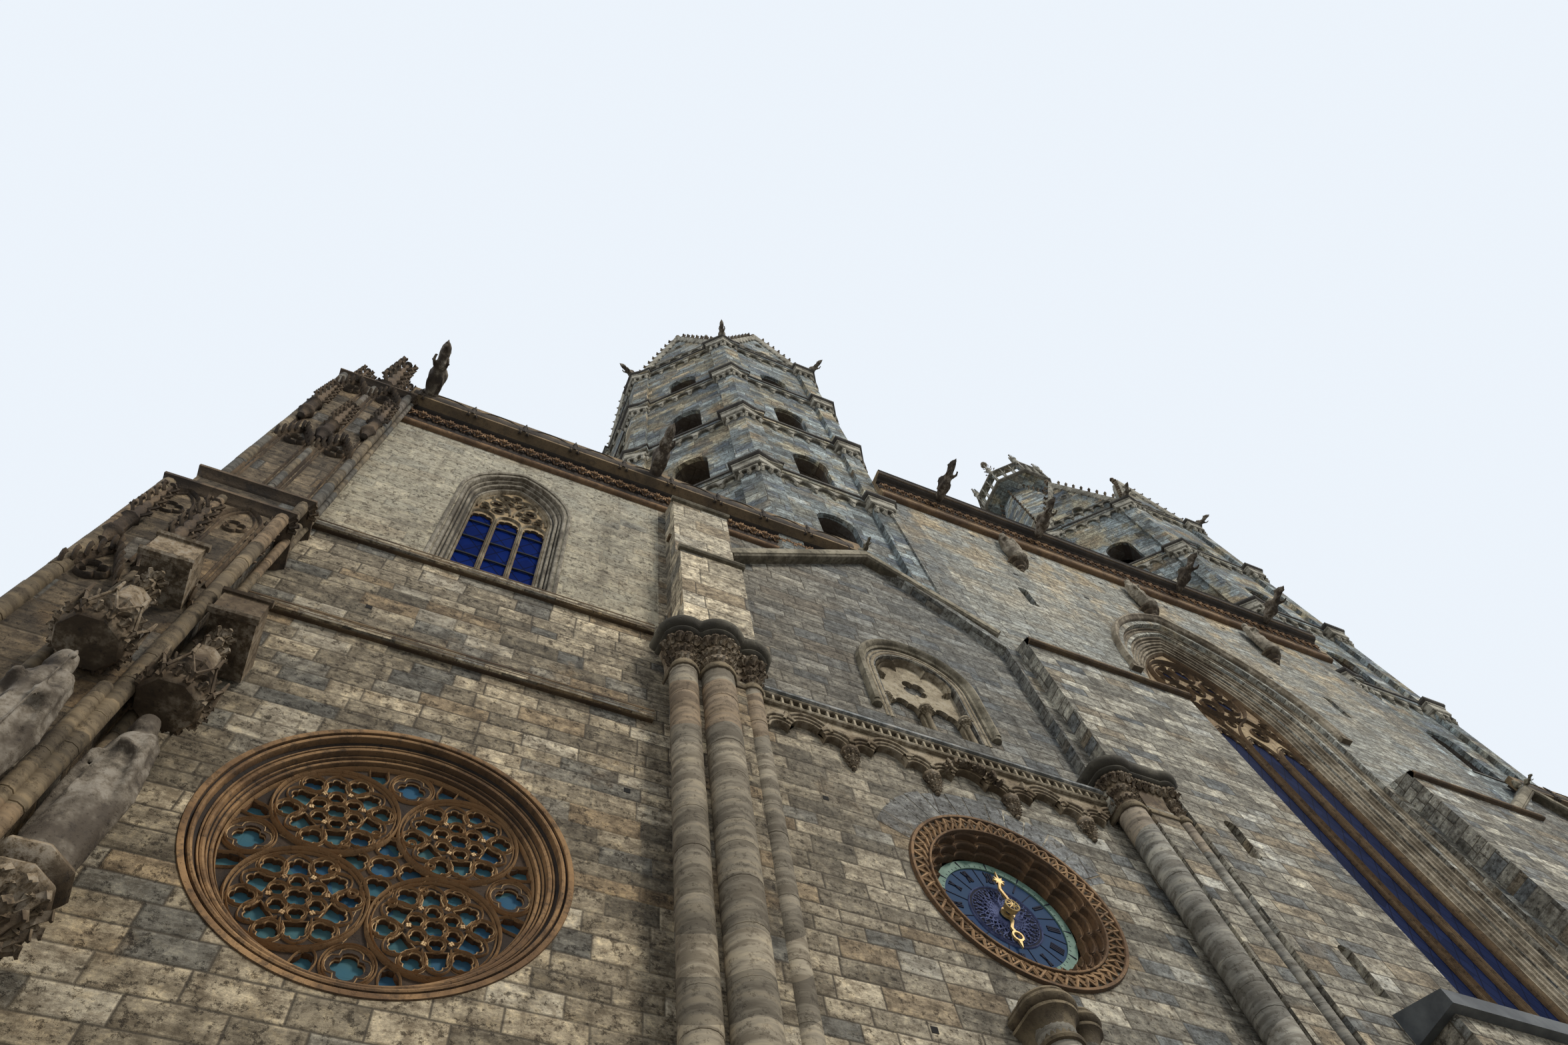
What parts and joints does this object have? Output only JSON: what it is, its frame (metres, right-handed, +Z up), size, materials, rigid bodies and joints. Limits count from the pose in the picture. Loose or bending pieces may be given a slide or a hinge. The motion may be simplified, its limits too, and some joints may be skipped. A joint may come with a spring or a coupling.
{
  "type": "cathedral, 1:10 scale model",
  "caption": "Cathedral at 1:10: west front with portal porch, rose and tracery windows, clock, octagon towers with gabled spires, and a steep-roofed nave behind.",
  "frame": {"origin": "ground level at the middle of the west front, in the plane of its central wall", "axes": "+X to the right along the front, +Y into the church, +Z up"},
  "size_m": [4.28, 4.732, 6.45],
  "materials": {
    "warm_ashlar": "weathered warm limestone ashlar",
    "tower_ashlar": "weathered cool grey limestone ashlar",
    "cream_ashlar": "paler replaced limestone blocks",
    "shaft_stone": "dressed limestone shafts and capitals",
    "carved_stone": "dark ochre carved limestone",
    "floor_stone": "worn stone slabs",
    "floor_boards": "rough floor boards on beams",
    "door_oak": "dark oak boards",
    "sheet_lead": "dull dark sheet metal",
    "glazed_tiles": "glazed roof tiles in a plain pattern",
    "leaded_glass": "leaded glass",
    "dial": "blue painted copper dial",
    "gilded_brass": "gilded"
  },
  "bodies": {
    "building": {"bay_gables": "warm_ashlar", "buttress_piers": "cream_ashlar", "centre_cornice": "carved_stone", "centre_wall": "warm_ashlar", "centre_window_tracery": "carved_stone", "chapel_cornices": "carved_stone", "chapel_fronts": "warm_ashlar", "chapel_window_tracery": "carved_stone", "church_floor": "floor_stone", "clock_dial": "dial", "corbel_tables": "carved_stone", "corner_buttresses": "carved_stone", "cornice_statues": "carved_stone", "east_wall": "warm_ashlar", "front_glass": "leaded_glass", "front_piers": "warm_ashlar", "gargoyles": "carved_stone", "left_spire": "tower_ashlar", "left_spire_crown": "tower_ashlar", "left_tower_base": "warm_ashlar", "left_tower_gables": "tower_ashlar", "left_tower_storey_1": "tower_ashlar", "left_tower_storey_2": "tower_ashlar", "left_tower_storey_3": "tower_ashlar", "left_tower_storey_4": "tower_ashlar", "low_roofs": "sheet_lead", "nave_roof": "glazed_tiles", "porch_roof": "sheet_lead", "portal_arch": "warm_ashlar", "portal_doors": "door_oak", "portal_porch": "warm_ashlar", "portal_steps": "warm_ashlar", "right_spire": "tower_ashlar", "right_spire_crown": "tower_ashlar", "right_tower_base": "warm_ashlar", "right_tower_gables": "tower_ashlar", "right_tower_storey_1": "tower_ashlar", "right_tower_storey_2": "tower_ashlar", "right_tower_storey_3": "tower_ashlar", "right_tower_storey_4": "tower_ashlar", "rose_tracery": "carved_stone", "round_frames": "carved_stone", "round_window_tracery": "carved_stone", "shaft_clusters": "shaft_stone", "side_glass": "leaded_glass", "side_walls": "warm_ashlar", "tower_floors": "floor_boards", "west_gable": "warm_ashlar"},
    "hour_hand": {"hour_hand": "gilded_brass"},
    "minute_hand": {"minute_hand": "gilded_brass"}
  },
  "joints": [
    {"name": "minute_hand_turn", "type": "hinge", "parent": "building", "child": "minute_hand", "pos_m": [-0.99, 0, 1.152], "axis": [0, 1, 0], "continuous": true},
    {"name": "hour_hand_turn", "type": "hinge", "parent": "building", "child": "hour_hand", "pos_m": [-0.99, 0, 1.152], "axis": [0, 1, 0], "continuous": true}
  ],
  "couplings": [
    {"joint": "hour_hand_turn", "follows": "minute_hand_turn", "ratio": 0.083333}
  ]
}
